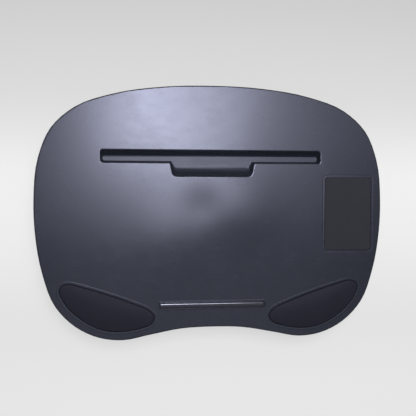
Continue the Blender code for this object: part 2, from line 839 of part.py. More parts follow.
tray_plastic = material("tray_plastic", (0.045, 0.045, 0.055), 0.35)
panel_plastic = material("panel_plastic", (0.03, 0.03, 0.032), 0.5)
bar_plastic = material("bar_plastic", (0.03, 0.03, 0.035), 0.15)
screw_steel = material("screw_steel", (0.45, 0.45, 0.46), 0.35, 1.0)
pad_rubber = material("pad_rubber", (0.02, 0.02, 0.02), 0.8)
mouse_cloth = material("mouse_cloth", (0.035, 0.035, 0.038), 0.9)
wrist_fabric = material("wrist_fabric", (0.022, 0.022, 0.028), 0.7)
pad_foam = material("pad_foam", (0.6, 0.6, 0.58), 0.95)
backing_board = material("backing_board", (0.08, 0.08, 0.08), 0.7)
cushion_fabric = material("cushion_fabric", (0.03, 0.03, 0.034), 0.9)
piping_fabric = material("piping_fabric", (0.02, 0.02, 0.022), 0.8)
tape_fabric = material("tape_fabric", (0.015, 0.015, 0.015), 0.9)

make_tray()
make_panel()
make_screws()
make_mouse_pad()
make_wrist_pad("right", wrist_outline(), wrist_x)
make_wrist_pad("left", mirrored(wrist_outline()), -wrist_x)
make_stop_bar()
make_bolster("right", bolster_outline(), bolster_x)
make_bolster("left", mirrored(bolster_outline()), -bolster_x)
make_strips()
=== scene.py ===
# %% [markdown]
# # A lap desk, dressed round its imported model
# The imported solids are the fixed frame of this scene. Each step below either gives some of them a
# finish made of nodes, or works out a finer surface with numpy that stands in a plain solid's
# place. Hard mouldings keep the shape of their solids, because it is already right. Everything
# soft, such as the wrist pads and the two cushions, is made anew.

# %% Load the frame
import math

import bpy
import numpy as np
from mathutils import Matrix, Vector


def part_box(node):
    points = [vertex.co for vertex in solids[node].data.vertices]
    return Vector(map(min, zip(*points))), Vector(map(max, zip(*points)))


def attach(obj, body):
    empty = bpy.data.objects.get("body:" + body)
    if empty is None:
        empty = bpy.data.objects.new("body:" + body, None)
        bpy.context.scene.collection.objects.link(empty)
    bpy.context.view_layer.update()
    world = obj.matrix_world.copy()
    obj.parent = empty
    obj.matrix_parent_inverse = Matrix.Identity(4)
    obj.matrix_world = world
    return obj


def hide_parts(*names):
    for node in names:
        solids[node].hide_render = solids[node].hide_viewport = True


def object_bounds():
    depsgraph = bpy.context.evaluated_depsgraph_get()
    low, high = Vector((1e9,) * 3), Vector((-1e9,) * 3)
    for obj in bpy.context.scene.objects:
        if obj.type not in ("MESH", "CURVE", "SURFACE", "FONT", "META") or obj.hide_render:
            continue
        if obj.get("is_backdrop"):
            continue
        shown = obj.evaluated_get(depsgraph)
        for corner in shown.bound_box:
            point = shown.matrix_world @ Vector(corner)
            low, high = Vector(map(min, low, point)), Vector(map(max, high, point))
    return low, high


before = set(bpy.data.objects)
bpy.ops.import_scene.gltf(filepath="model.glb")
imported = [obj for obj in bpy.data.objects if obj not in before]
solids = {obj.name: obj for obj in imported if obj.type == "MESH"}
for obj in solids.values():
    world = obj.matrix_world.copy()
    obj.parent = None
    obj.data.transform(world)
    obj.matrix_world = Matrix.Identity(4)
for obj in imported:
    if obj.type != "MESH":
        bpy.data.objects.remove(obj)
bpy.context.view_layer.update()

# %% [markdown]
# ## Camera
# The photograph looks almost straight down on the desk, from a little left of its middle. The
# camera's place and turn were worked out from where the known edges of the tray lie in the picture.
# Blender turns a camera about X first, then Y, then Z, and an unturned camera looks straight down.

# %% Place the camera
camera_place = (-0.12092, 0.03518, 1.06139)
camera_turn_degrees = (-1.594, -6.554, 0.097)
camera_lens = 52.04

camera_data = bpy.data.cameras.new("camera")
camera_data.lens = camera_lens
camera = bpy.data.objects.new("camera", camera_data)
camera.location = camera_place
camera.rotation_euler = [math.radians(turn) for turn in camera_turn_degrees]
bpy.context.scene.collection.objects.link(camera)
bpy.context.scene.camera = camera
bpy.context.scene.view_settings.view_transform = "Standard"
print("camera", camera_place[2], "m over the floor")

# %% [markdown]
# ## Nodes in words
# A material is a small network. Two short helpers keep each one readable: `add` puts a node into a
# network with its settings, and `join` wires one socket to the next.

# %% Helpers for networks
def add(tree, kind, settings=None, values=None):
    """A new node of a kind, with settings for its own fields and values for its sockets."""
    node = tree.nodes.new(kind)
    for field, value in (settings or {}).items():
        setattr(node, field, value)
    for socket, value in (values or {}).items():
        node.inputs[socket].default_value = value
    return node


def join(tree, source, target):
    """Wire an output socket to an input socket, and hand the input's node back."""
    tree.links.new(source, target)
    return target.node


def calculate(tree, operation, first, second=None, third=None, clamp=False):
    """A Math node's answer. Each term is a socket or a number."""
    node = add(tree, "ShaderNodeMath", {"operation": operation, "use_clamp": clamp})
    for index, term in enumerate((first, second, third)):
        if term is None:
            continue
        if isinstance(term, bpy.types.NodeSocket):
            tree.links.new(term, node.inputs[index])
        else:
            node.inputs[index].default_value = term
    return node.outputs[0]


def between(tree, share, low, high):
    """A number that runs from low to high as a socket's share runs from 0 to 1."""
    node = add(tree, "ShaderNodeMapRange", values={"To Min": low, "To Max": high})
    join(tree, share, node.inputs["Value"])
    return node.outputs["Result"]


def mixed(tree, share, low, high):
    """A colour between two, by a socket's share."""
    node = add(tree, "ShaderNodeMix", {"data_type": "RGBA"})
    join(tree, share, node.inputs["Factor"])
    node.inputs["A"].default_value = (*low, 1)
    node.inputs["B"].default_value = (*high, 1)
    return node.outputs["Result"]


# %% [markdown]
# ## Light and floor
# Two softboxes hang side by side over the rear of the desk, the left one nearly twice as bright. On
# satin plastic their reflection is the broad pale bloom round the tablet slot, and it fades
# towards the front. A wide weak lamp above them stands for what the ceiling sends back, and two
# faint ones for the walls at the right and at the front. All of them shine straight down, so that
# a level surface gets about as much light as its colour says. The floor is a pale sheet whose grey
# changes from front to rear as a painted fall of light, brightest near the middle and dimmest at
# the rear. For the camera it mostly glows in that grey, which leaves only a faint desk shadow.

# %% Hang the softboxes
softboxes = (
    ("left_softbox", (-0.10, 0.45, 1.70), (0.30, 0.60), 11.1),
    ("right_softbox", (0.20, 0.45, 1.70), (0.30, 0.60), 6.1),
    ("ceiling_bounce", (0.05, 0.335, 1.72), (1.20, 0.83), 6.2),
    ("right_bounce", (0.86, 0.36, 1.70), (0.50, 0.40), 0.6),
    ("front_bounce", (0.00, -0.62, 1.70), (1.40, 0.44), 0.7),
)


def hang_softbox(name, place, size, watts):
    """A rectangular lamp that shines straight down."""
    data = bpy.data.lights.new(name, "AREA")
    data.shape = "RECTANGLE"
    data.size, data.size_y = size
    data.energy = watts
    lamp = bpy.data.objects.new(name, data)
    lamp.location = place
    bpy.context.scene.collection.objects.link(lamp)
    print(name, watts, "W")


for softbox in softboxes:
    hang_softbox(*softbox)

# %% Fill the sky
horizon_level = 0.30
overhead_level = 0.18
overhead_from = 0.45
backdrop_level = 0.80

world = bpy.data.worlds.new("studio")
bpy.context.scene.world = world
world.use_nodes = True
tree = world.node_tree
direction = add(tree, "ShaderNodeTexCoord").outputs["Generated"]
height = add(tree, "ShaderNodeSeparateXYZ")
join(tree, direction, height.inputs[0])
ceiling = add(tree, "ShaderNodeMapRange", {"interpolation_type": "SMOOTHSTEP"},
              {"From Max": overhead_from, "To Min": horizon_level, "To Max": overhead_level})
join(tree, height.outputs["Z"], ceiling.inputs["Value"])
level = add(tree, "ShaderNodeMix")
join(tree, add(tree, "ShaderNodeLightPath").outputs["Is Camera Ray"], level.inputs["Factor"])
join(tree, ceiling.outputs["Result"], level.inputs["A"])
level.inputs["B"].default_value = backdrop_level
join(tree, level.outputs["Result"], tree.nodes["Background"].inputs["Strength"])
tree.nodes["Background"].inputs["Color"].default_value = (1, 1, 1, 1)
print("sky from", overhead_level, "overhead to", horizon_level, "at the horizon")

# %% Lay the floor
floor_reach = 7.0
floor_front, floor_rear = -0.40, 0.40
# painted light: the floor's grey is brightest near the middle and falls off towards the rear, like the
# lamps' light
painted_floor_light = ((0.0, 0.85), (0.13, 0.85), (0.26, 0.79), (0.40, 0.88), (0.52, 0.91), (0.60, 0.91),
               (0.68, 0.80), (0.76, 0.73), (0.88, 0.68), (1.0, 0.60))
# for the camera the floor mostly glows in its own grey, which leaves only a faint shadow of the desk
floor_glow_share = 0.75

corners = np.array([(-1, -1, 0), (1, -1, 0), (1, 1, 0), (-1, 1, 0)]) * floor_reach
floor_mesh = bpy.data.meshes.new("floor")
floor_mesh.from_pydata(corners.tolist(), [], [(0, 1, 2, 3)])
floor = bpy.data.objects.new("floor", floor_mesh)
bpy.context.scene.collection.objects.link(floor)
floor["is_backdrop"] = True

floor_finish = bpy.data.materials.new("floor_paper")
floor_finish.use_nodes = True
floor_mesh.materials.append(floor_finish)
tree = floor_finish.node_tree
paper = tree.nodes["Principled BSDF"]
paper.inputs["Roughness"].default_value = 0.9
paper.inputs["Specular IOR Level"].default_value = 0.0
place = add(tree, "ShaderNodeSeparateXYZ")
join(tree, add(tree, "ShaderNodeTexCoord").outputs["Object"], place.inputs[0])
along = add(tree, "ShaderNodeMapRange", values={"From Min": floor_front, "From Max": floor_rear})
join(tree, place.outputs["Y"], along.inputs["Value"])
# the painted fall of light along the floor, from front to rear
painted_light_ramp = add(tree, "ShaderNodeValToRGB")
painted_light_ramp.color_ramp.interpolation = "B_SPLINE"
while len(painted_light_ramp.color_ramp.elements) < len(painted_floor_light):
    painted_light_ramp.color_ramp.elements.new(0.5)
for element, (share, grey) in zip(painted_light_ramp.color_ramp.elements, painted_floor_light):
    element.position = share
    element.color = (grey, grey, grey, 1)
join(tree, along.outputs["Result"], painted_light_ramp.inputs["Fac"])
join(tree, painted_light_ramp.outputs["Color"], paper.inputs["Base Color"])
glow = add(tree, "ShaderNodeEmission")
join(tree, painted_light_ramp.outputs["Color"], glow.inputs["Color"])
seen = add(tree, "ShaderNodeLightPath").outputs["Is Camera Ray"]
blend = add(tree, "ShaderNodeMixShader")
join(tree, calculate(tree, "MULTIPLY", seen, floor_glow_share), blend.inputs[0])
join(tree, paper.outputs[0], blend.inputs[1])
join(tree, glow.outputs[0], blend.inputs[2])
join(tree, blend.outputs[0], tree.nodes["Material Output"].inputs["Surface"])
print("floor", 2 * floor_reach, "m wide")

# %% [markdown]
# ## Effects that several finishes share
# Each effect is a node group, built once, and each finish sets its own numbers on it. A group only
# hands out heights and masks; the finish decides what colour, gloss or bump they become.

# %% Build a node group
def new_group(name, inputs, outputs):
    """An empty node group with number sockets, its input node and its output node."""
    tree = bpy.data.node_groups.new(name, "ShaderNodeTree")
    for label, value in inputs:
        socket = tree.interface.new_socket(label, in_out="INPUT", socket_type="NodeSocketFloat")
        socket.default_value = value
    for label in outputs:
        tree.interface.new_socket(label, in_out="OUTPUT", socket_type="NodeSocketFloat")
    return tree, add(tree, "NodeGroupInput").outputs, add(tree, "NodeGroupOutput").inputs


# %% [markdown]
# ### Spark grain
# A mould for matte plastic is eroded by sparks, so the part that it makes is covered in tiny round
# pits of uneven size. Two noises of different size, one inside the other, look the same.

# %% Spark grain group
patch_scale_share = 0.18
patch_height_share = 0.4

tree, given, made = new_group("spark_grain", [("Pits per Metre", 1500.0)], ["Height", "Speckle"])
where = add(tree, "ShaderNodeTexCoord").outputs["Object"]
pits = add(tree, "ShaderNodeTexNoise", values={"Detail": 1.0, "Roughness": 0.5})
join(tree, where, pits.inputs["Vector"])
join(tree, given["Pits per Metre"], pits.inputs["Scale"])
coarse = add(tree, "ShaderNodeTexNoise", values={"Detail": 2.0, "Roughness": 0.6})
join(tree, where, coarse.inputs["Vector"])
patches = calculate(tree, "MULTIPLY", given["Pits per Metre"], patch_scale_share)
join(tree, patches, coarse.inputs["Scale"])
height = calculate(tree, "MULTIPLY_ADD", coarse.outputs["Fac"], patch_height_share, pits.outputs["Fac"])
join(tree, height, made["Height"])
join(tree, coarse.outputs["Fac"], made["Speckle"])
spark_grain = tree

# %% [markdown]
# ### Handling
# Hands and sleeves polish plastic unevenly. The mask is a slow cloud with a few long soft strokes
# across it, and a finish adds a little of it to its roughness.

# %% Handling group
stroke_turn = 0.5
stroke_stretch = (1, 2, 1)
strokes_per_cloud = 2.0

tree, given, made = new_group("handling", [("Clouds per Metre", 8.0)], ["Smudge"])
where = add(tree, "ShaderNodeTexCoord").outputs["Object"]
cloud = add(tree, "ShaderNodeTexNoise", values={"Detail": 3.0, "Roughness": 0.55})
join(tree, where, cloud.inputs["Vector"])
join(tree, given["Clouds per Metre"], cloud.inputs["Scale"])
stretched = add(tree, "ShaderNodeMapping", values={"Rotation": (0, 0, stroke_turn), "Scale": stroke_stretch})
join(tree, where, stretched.inputs["Vector"])
strokes = add(tree, "ShaderNodeTexNoise", values={"Detail": 2.0, "Roughness": 0.5})
join(tree, stretched.outputs["Vector"], strokes.inputs["Vector"])
finer = calculate(tree, "MULTIPLY", given["Clouds per Metre"], strokes_per_cloud)
join(tree, finer, strokes.inputs["Scale"])
both = calculate(tree, "MULTIPLY_ADD", strokes.outputs["Fac"], 0.5,
                 calculate(tree, "MULTIPLY", cloud.outputs["Fac"], 0.5))
join(tree, both, made["Smudge"])
handling = tree

# %% [markdown]
# ### Woven threads
# In a plain weave every thread passes over one neighbour and under the next. With u and v counting
# threads both ways, the product of their sines is positive where the warp is on top and negative
# where the weft is, and the sine's own arch is the thread's round back. The group picks the two
# directions that lie along the surface, so that a weave runs on round a cushion's side.

# %% Woven threads group
wander_share = 0.06
flat_from = 0.6

tree, given, made = new_group("woven_threads", [("Threads per Metre", 1200.0), ("Slub", 0.2)],
                              ["Height", "Thread"])
where = add(tree, "ShaderNodeSeparateXYZ")
wander = add(tree, "ShaderNodeTexNoise", values={"Detail": 1.0})
coordinates = add(tree, "ShaderNodeTexCoord").outputs["Object"]
join(tree, coordinates, wander.inputs["Vector"])
join(tree, calculate(tree, "MULTIPLY", given["Threads per Metre"], wander_share), wander.inputs["Scale"])
join(tree, coordinates, where.inputs[0])
facing = add(tree, "ShaderNodeSeparateXYZ")
join(tree, add(tree, "ShaderNodeNewGeometry").outputs["True Normal"], facing.inputs[0])
across_x = calculate(tree, "ABSOLUTE", facing.outputs["X"])
across_y = calculate(tree, "ABSOLUTE", facing.outputs["Y"])
flat = calculate(tree, "GREATER_THAN", calculate(tree, "ABSOLUTE", facing.outputs["Z"]), flat_from)
sideways = calculate(tree, "GREATER_THAN", across_x, across_y)
upright_u = add(tree, "ShaderNodeMix")
join(tree, sideways, upright_u.inputs["Factor"])
join(tree, where.outputs["X"], upright_u.inputs["A"])
join(tree, where.outputs["Y"], upright_u.inputs["B"])
along_u = add(tree, "ShaderNodeMix")
join(tree, flat, along_u.inputs["Factor"])
join(tree, upright_u.outputs["Result"], along_u.inputs["A"])
join(tree, where.outputs["X"], along_u.inputs["B"])
along_v = add(tree, "ShaderNodeMix")
join(tree, flat, along_v.inputs["Factor"])
join(tree, where.outputs["Z"], along_v.inputs["A"])
join(tree, where.outputs["Y"], along_v.inputs["B"])
waves = []
for thread in (along_u, along_v):
    count = calculate(tree, "MULTIPLY", thread.outputs["Result"], given["Threads per Metre"])
    uneven = calculate(tree, "MULTIPLY_ADD", wander.outputs["Fac"], given["Slub"], count)
    waves.append(calculate(tree, "SINE", calculate(tree, "MULTIPLY", uneven, math.pi)))
over = calculate(tree, "MULTIPLY", waves[0], waves[1])
warp_share = calculate(tree, "MULTIPLY_ADD", over, 1.0, 0.5, clamp=True)
warp = calculate(tree, "MULTIPLY", calculate(tree, "ABSOLUTE", waves[0]), warp_share)
weft_share = calculate(tree, "SUBTRACT", 1.0, warp_share)
weft = calculate(tree, "MULTIPLY", calculate(tree, "ABSOLUTE", waves[1]), weft_share)
join(tree, calculate(tree, "ADD", warp, weft), made["Height"])
join(tree, warp_share, made["Thread"])
woven_threads = tree


# %% A finish and the effects in it
def new_finish(name, roughness, gloss=0.5, metallic=0.0, tint=(1, 1, 1)):
    """A material with a Principled shader whose fixed values are set on its own sockets."""
    material = bpy.data.materials.new(name)
    material.use_nodes = True
    shader = material.node_tree.nodes["Principled BSDF"]
    shader.inputs["Roughness"].default_value = roughness
    shader.inputs["Specular IOR Level"].default_value = gloss
    shader.inputs["Metallic"].default_value = metallic
    shader.inputs["Specular Tint"].default_value = (*tint, 1)
    return material, material.node_tree, shader


def effect(tree, group, **values):
    """One of the shared groups placed in a finish. An underscore in a name stands for a space."""
    node = add(tree, "ShaderNodeGroup", {"node_tree": group})
    for label, value in values.items():
        node.inputs[label.replace("_", " ")].default_value = value
    return node.outputs


def bumped(tree, shader, height, depth, under=None):
    """Raise the surface by a height from 0 to 1 times a depth in metres, over an earlier bump."""
    node = add(tree, "ShaderNodeBump", values={"Distance": depth})
    join(tree, height, node.inputs["Height"])
    if under is not None:
        join(tree, under, node.inputs["Normal"])
    join(tree, node.outputs["Normal"], shader.inputs["Normal"])
    return node.outputs["Normal"]


# %% [markdown]
# ## Plastics
# The tray is dark moulded plastic with a satin skin: a bluish charcoal, finely spark-grained. As
# such a wide, thin wall cools, it sinks and swells a little, by a millimetre or two. Only the
# reflection shows it, as soft dark and pale places near the middle. Each one is round: a height
# times the bell curve of the distance from its middle.

# %% Tray plastic
tray_dark = (0.0158, 0.0184, 0.0274)
tray_light = (0.0228, 0.0259, 0.0377)
tray_tint = (0.74, 0.76, 1.0)
tray_roughness = (0.21, 0.32)
tray_grain = 0.000012
floor_roughness_rise = 0.17
warps = ((-0.064, -0.049, 0.045, 0.0020), (0.053, -0.010, 0.039, 0.0020),
         (-0.015, 0.0095, 0.022, -0.00086), (-0.112, -0.128, 0.088, 0.0020),
         (0.011, 0.041, 0.064, 0.0020))
slot_floor_from = 0.010
slot_floor_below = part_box("tray_top")[1].z - slot_floor_from

tray_finish, tree, shader = new_finish("tray_plastic_finish", 0.35, gloss=0.60, tint=tray_tint)
grain = effect(tree, spark_grain, Pits_per_Metre=1000.0)
smudge = effect(tree, handling, Clouds_per_Metre=20.0)["Smudge"]
join(tree, mixed(tree, grain["Speckle"], tray_dark, tray_light), shader.inputs["Base Color"])
where = add(tree, "ShaderNodeTexCoord").outputs["Object"]
split = add(tree, "ShaderNodeSeparateXYZ")
join(tree, where, split.inputs[0])
down_in_slot = calculate(tree, "LESS_THAN", split.outputs["Z"], slot_floor_below)
rougher = calculate(tree, "MULTIPLY_ADD", down_in_slot, floor_roughness_rise,
                    between(tree, smudge, *tray_roughness))
join(tree, rougher, shader.inputs["Roughness"])
relief = 0.0
for x, y, spread, swell in warps:
    away = add(tree, "ShaderNodeVectorMath", {"operation": "DISTANCE"})
    flat_place = add(tree, "ShaderNodeCombineXYZ")
    join(tree, split.outputs["X"], flat_place.inputs["X"])
    join(tree, split.outputs["Y"], flat_place.inputs["Y"])
    join(tree, flat_place.outputs[0], away.inputs[0])
    away.inputs[1].default_value = (x, y, 0)
    squared = calculate(tree, "POWER", away.outputs["Value"], 2.0)
    bell = calculate(tree, "EXPONENT", calculate(tree, "DIVIDE", squared, -2 * spread ** 2))
    relief = calculate(tree, "MULTIPLY_ADD", bell, swell, relief)
warped = bumped(tree, shader, relief, 1.0)
bumped(tree, shader, grain["Height"], tray_grain, under=warped)

# %% Panel, bar and board
def moulded(name, dark, light, roughness, pits, clouds, depth, gloss=0.5, tint=(1, 1, 1)):
    """Plastic whose speckle runs between two colours, whose smudge runs between two roughnesses and
    whose grain is a bump of the given depth."""
    material, tree, shader = new_finish(name, sum(roughness) / 2, gloss=gloss, tint=tint)
    grain = effect(tree, spark_grain, Pits_per_Metre=pits)
    smudge = effect(tree, handling, Clouds_per_Metre=clouds)["Smudge"]
    join(tree, mixed(tree, grain["Speckle"], dark, light), shader.inputs["Base Color"])
    join(tree, between(tree, smudge, *roughness), shader.inputs["Roughness"])
    bumped(tree, shader, grain["Height"], depth)
    return material


panel_finish = moulded("panel_plastic_finish", (0.020, 0.020, 0.022), (0.030, 0.030, 0.033),
                       (0.42, 0.58), pits=700.0, clouds=10.0, depth=0.00006)
bar_finish = moulded("bar_plastic_finish", (0.020, 0.021, 0.028), (0.026, 0.027, 0.036), (0.10, 0.16),
                     pits=400.0, clouds=30.0, depth=0.000002, gloss=0.75, tint=(0.78, 0.81, 1.0))

board_finish, tree, shader = new_finish("backing_board_finish", 0.7)
grain = effect(tree, spark_grain, Pits_per_Metre=900.0)
join(tree, mixed(tree, grain["Speckle"], (0.055, 0.052, 0.048), (0.10, 0.095, 0.088)),
     shader.inputs["Base Color"])
bumped(tree, shader, grain["Height"], 0.00005)

# %% [markdown]
# ## Metal and rubber
# The screws and clips are zinc-plated steel, with a slight mottle. The mouse pad's base is foamed
# rubber: round cells, which a Voronoi texture's distance to the nearest point draws well. The
# colour darkens where the surface sinks between the cells' middles, as painted shade.

# %% Steel and rubber
steel_finish, tree, shader = new_finish("screw_steel_finish", 0.35, metallic=1.0)
smudge = effect(tree, handling, Clouds_per_Metre=600.0)["Smudge"]
join(tree, mixed(tree, smudge, (0.42, 0.43, 0.44), (0.60, 0.60, 0.58)), shader.inputs["Base Color"])
join(tree, between(tree, smudge, 0.25, 0.45), shader.inputs["Roughness"])
bumped(tree, shader, smudge, 0.00002)

rubber_finish, tree, shader = new_finish("pad_rubber_finish", 0.8)
cells = add(tree, "ShaderNodeTexVoronoi", {"feature": "F1"}, {"Scale": 1600.0})
join(tree, add(tree, "ShaderNodeTexCoord").outputs["Object"], cells.inputs["Vector"])
# painted shade: the colour darkens with the same distance that sinks the surface, so the hollows are darker
join(tree, mixed(tree, cells.outputs["Distance"], (0.028, 0.028, 0.029), (0.012, 0.012, 0.012)),
     shader.inputs["Base Color"])
bumped(tree, shader, cells.outputs["Distance"], -0.0002)


# %% [markdown]
# ## Cloths
# Every cloth here is the same woven effect at its own thread count. The mousing surface is very
# fine and flat, the wrist covers are a smooth knit, and the cushions are a coarser canvas with a
# little sheen from loose fibres.

# %% Cloth finishes
def new_cloth(name, dark, light, threads, slub, depth, sheen, roughness=0.85, gloss=0.3, tint=(1, 1, 1)):
    """A woven finish: the threads' tops are the light colour and the gaps the dark one, which is painted
    shade between the threads; a slow cloud lightens the colour here and there as wear.
    """
    material, tree, shader = new_finish(name, roughness, gloss=gloss, tint=tint)
    shader.inputs["Sheen Weight"].default_value = sheen
    shader.inputs["Sheen Roughness"].default_value = 0.5
    weave = effect(tree, woven_threads, Threads_per_Metre=threads, Slub=slub)
    cloud = effect(tree, handling, Clouds_per_Metre=25.0)["Smudge"]
    # painted shade: the colour darkens with the weave's height into the gaps between threads, and the cloud
    # adds uneven wear
    gap_shade_and_wear = calculate(tree, "MULTIPLY_ADD", cloud, 0.4,
                     calculate(tree, "MULTIPLY", weave["Height"], 0.8), clamp=True)
    join(tree, mixed(tree, gap_shade_and_wear, dark, light), shader.inputs["Base Color"])
    bumped(tree, shader, weave["Height"], depth)
    return material


mouse_finish = new_cloth("mouse_cloth_finish", (0.022, 0.023, 0.029), (0.038, 0.039, 0.048),
                         2400.0, 0.2, 0.00008, 0.0, gloss=0.2, tint=(0.80, 0.85, 1.0))
wrist_finish = new_cloth("wrist_fabric_finish", (0.009, 0.0088, 0.0138), (0.016, 0.0155, 0.0236),
                         1800.0, 0.1, 0.00006, 0.0, roughness=0.50, gloss=0.22, tint=(0.70, 0.72, 1.0))
cushion_finish = new_cloth("cushion_fabric_finish", (0.012, 0.012, 0.014), (0.038, 0.038, 0.042),
                           900.0, 0.5, 0.00035, 0.25)
piping_finish = new_cloth("piping_fabric_finish", (0.010, 0.010, 0.011), (0.026, 0.026, 0.028),
                          1500.0, 0.3, 0.00020, 0.15)
thread_finish = new_cloth("stitch_thread_finish", (0.020, 0.020, 0.022), (0.055, 0.055, 0.060),
                          2500.0, 0.3, 0.00010, 0.10)
tape_finish = new_cloth("tape_fabric_finish", (0.006, 0.006, 0.006), (0.020, 0.020, 0.021),
                        700.0, 0.8, 0.00060, 0.20)

# %% Dress the rubber base
rubber = solids["mouse_pad_base"].data
rubber.materials.clear()
rubber.materials.append(rubber_finish)
print("dressed", rubber.name)

# %% [markdown]
# ## Surfaces from numbers
# A ring is an array of points round a piece, and a stack of rings is a grid: one way round, one way
# up. Its faces follow from counting alone, so no loop goes over the points.

# %% Make a piece from a grid
def grid_faces(rows, columns):
    """Faces of a grid that closes on itself round its columns. A face's corners are point c of row
    r, the next one along, and the two above them."""
    column = np.arange(columns)
    after = (column + 1) % columns
    row = np.arange(rows - 1)[:, None] * columns
    corners = [row + column, row + after, row + columns + after, row + columns + column]
    return np.stack(corners, axis=-1).reshape(-1, 4)


def new_piece(name, points, faces, finish, slot, sharp_degrees=40):
    """An object from arrays of points and faces, dressed, shaded smooth and riding on the desk."""
    mesh = bpy.data.meshes.new(name)
    mesh.from_pydata(np.reshape(points, (-1, 3)).tolist(), [], faces)
    mesh.materials.append(finish)
    mesh.shade_smooth()
    mesh.set_sharp_from_angle(angle=math.radians(sharp_degrees))
    piece = bpy.data.objects.new(name, mesh)
    bpy.context.scene.collection.objects.link(piece)
    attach(piece, "root")
    return piece


def closed_stack(rings):
    """Points and faces of a stack of rings, from the lowest up, with a flat face at each end."""
    rows, columns = rings.shape[:2]
    last = (rows - 1) * columns
    bottom = list(range(columns))[::-1]
    top = list(range(last, last + columns))
    return rings.reshape(-1, 3), grid_faces(rows, columns).tolist() + [bottom, top]


def ring_at(outline, height):
    """An outline's points, all at one height."""
    return np.column_stack([outline, np.full(len(outline), height)])


def points_of(mesh):
    """A mesh's points as an array."""
    points = np.empty(len(mesh.vertices) * 3)
    mesh.vertices.foreach_get("co", points)
    return points.reshape(-1, 3)


# %% [markdown]
# ## Mouldings
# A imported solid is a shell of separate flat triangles, so a curved wall shows its facets. Its copy
# has the corners that lie in one place made one point, which lets Blender shade across them. Where
# a large flat face meets a small curved one, the large one has the say on the shared normal, and
# the tray's top stays as level as it is.

# %% Copy the mouldings with joined corners
mouldings = {
    "tray_top": (tray_finish, "tray_plastic"), "bottom_panel": (panel_finish, "panel_plastic"),
    "wrist_plate": (board_finish, "backing_board"), "panel_screw": (steel_finish, "screw_steel"),
    "stop_bar_clip": (steel_finish, "screw_steel"),
}
moulding_sharp_degrees = 50


def moulding(node, finish, slot):
    """A solid's own triangles on joined points, with normals weighted by the faces' areas."""
    mesh = solids[node].data
    corners = np.empty(len(mesh.loops), dtype=int)
    mesh.loops.foreach_get("vertex_index", corners)
    places, number = np.unique(points_of(mesh), axis=0, return_inverse=True)
    faces = number.ravel()[corners].reshape(-1, 3)
    piece = new_piece("fine_" + node, places, faces.tolist(), finish, slot, moulding_sharp_degrees)
    even = piece.modifiers.new("even shading", "WEIGHTED_NORMAL")
    even.mode = "FACE_AREA"
    even.keep_sharp = True
    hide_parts(node)
    return len(places)


for name in list(solids):
    for start, look in mouldings.items():
        if name.startswith(start):
            print(name, moulding(name, *look), "points")

# %% [markdown]
# ## Outlines
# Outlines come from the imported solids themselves: their corners at a height, in order round the
# middle. A smooth curve through those corners is then read off at even steps. Moving an outline in
# or out shifts each point along its own outward direction, at right angles to its neighbours' line.

# %% Outlines
level_reach = 0.0001
outline_digits = 6
span_steps = 24


def traced(node, height):
    """The corners that a solid has at a height, in order round their middle."""
    points = points_of(solids[node].data)
    level = points[np.abs(points[:, 2] - height) < level_reach, :2]
    level = np.unique(np.round(level, outline_digits), axis=0)
    away = level - level.mean(axis=0)
    return level[np.argsort(np.arctan2(away[:, 1], away[:, 0]))]


def smoothed(corners, count):
    """Even steps along a closed curve through the corners. Each span is the cubic that leaves and
    arrives along the line between its neighbours, weighted by the spans' lengths."""
    here, after = corners, np.roll(corners, -1, axis=0)
    chord = after - here
    length = np.linalg.norm(chord, axis=1, keepdims=True)
    last_chord, last_length = np.roll(chord, 1, axis=0), np.roll(length, 1, axis=0)
    heading = (last_chord * length / last_length + chord * last_length / length) / (length + last_length)
    leaving, arriving = heading * length, np.roll(heading, -1, axis=0) * length
    t = np.linspace(0, 1, span_steps, endpoint=False)[:, None, None]
    curve = (here * (2 * t ** 3 - 3 * t ** 2 + 1) + after * (3 * t ** 2 - 2 * t ** 3)
             + leaving * (t ** 3 - 2 * t ** 2 + t) + arriving * (t ** 3 - t ** 2))
    curve = curve.transpose(1, 0, 2).reshape(-1, 2)
    closed = np.vstack([curve, curve[:1]])
    travelled = np.concatenate([[0], np.cumsum(np.linalg.norm(np.diff(closed, axis=0), axis=1))])
    steps = np.linspace(0, travelled[-1], count, endpoint=False)
    return np.column_stack([np.interp(steps, travelled, closed[:, axis]) for axis in (0, 1)])


def outward(outline):
    """The direction out of a counter-clockwise outline at each point: the tangent turned right."""
    tangent = np.roll(outline, -1, axis=0) - np.roll(outline, 1, axis=0)
    tangent = tangent / np.linalg.norm(tangent, axis=1, keepdims=True)
    return np.column_stack([tangent[:, 1], -tangent[:, 0]])


def rounded_rectangle(width, length, radius, count):
    """A circle pulled apart into four quarters: the quarters' middles are the corners' centres."""
    turn = (np.arange(count) + 0.5) * 2 * math.pi / count
    circle = np.column_stack([np.cos(turn), np.sin(turn)])
    return np.sign(circle) * (width / 2 - radius, length / 2 - radius) + circle * radius


# %% [markdown]
# ## Stop bar
# The bar's long highlight shows every facet, so it is drawn finer than its solid. Its side turns in
# on an arc, and from there the crown falls away with the cube of the distance from the middle line,
# which leaves the top nearly flat and puts the highlight along its rear shoulder. Three pegs below
# it go through the tray.

# %% Draw the stop bar
bar_body_height = 0.0052
bar_crown = 0.0008
bar_crown_reach = (0.96, 0.03)
bar_edge_radius = 0.0012
bar_edge_turn = math.radians(58)
bar_corner = 0.0015
bar_edge_steps = 8
bar_crown_rings = 26
bar_columns = 64
bar_sharp_degrees = 50
peg_radius = 0.002
peg_end_margin = 0.0205
peg_columns = 24


def peg_rings(place, bottom, top):
    """Two circles, one over the other."""
    circle = rounded_rectangle(2 * peg_radius, 2 * peg_radius, peg_radius, peg_columns)
    return np.array([ring_at(circle + place, height) for height in (bottom, top)])


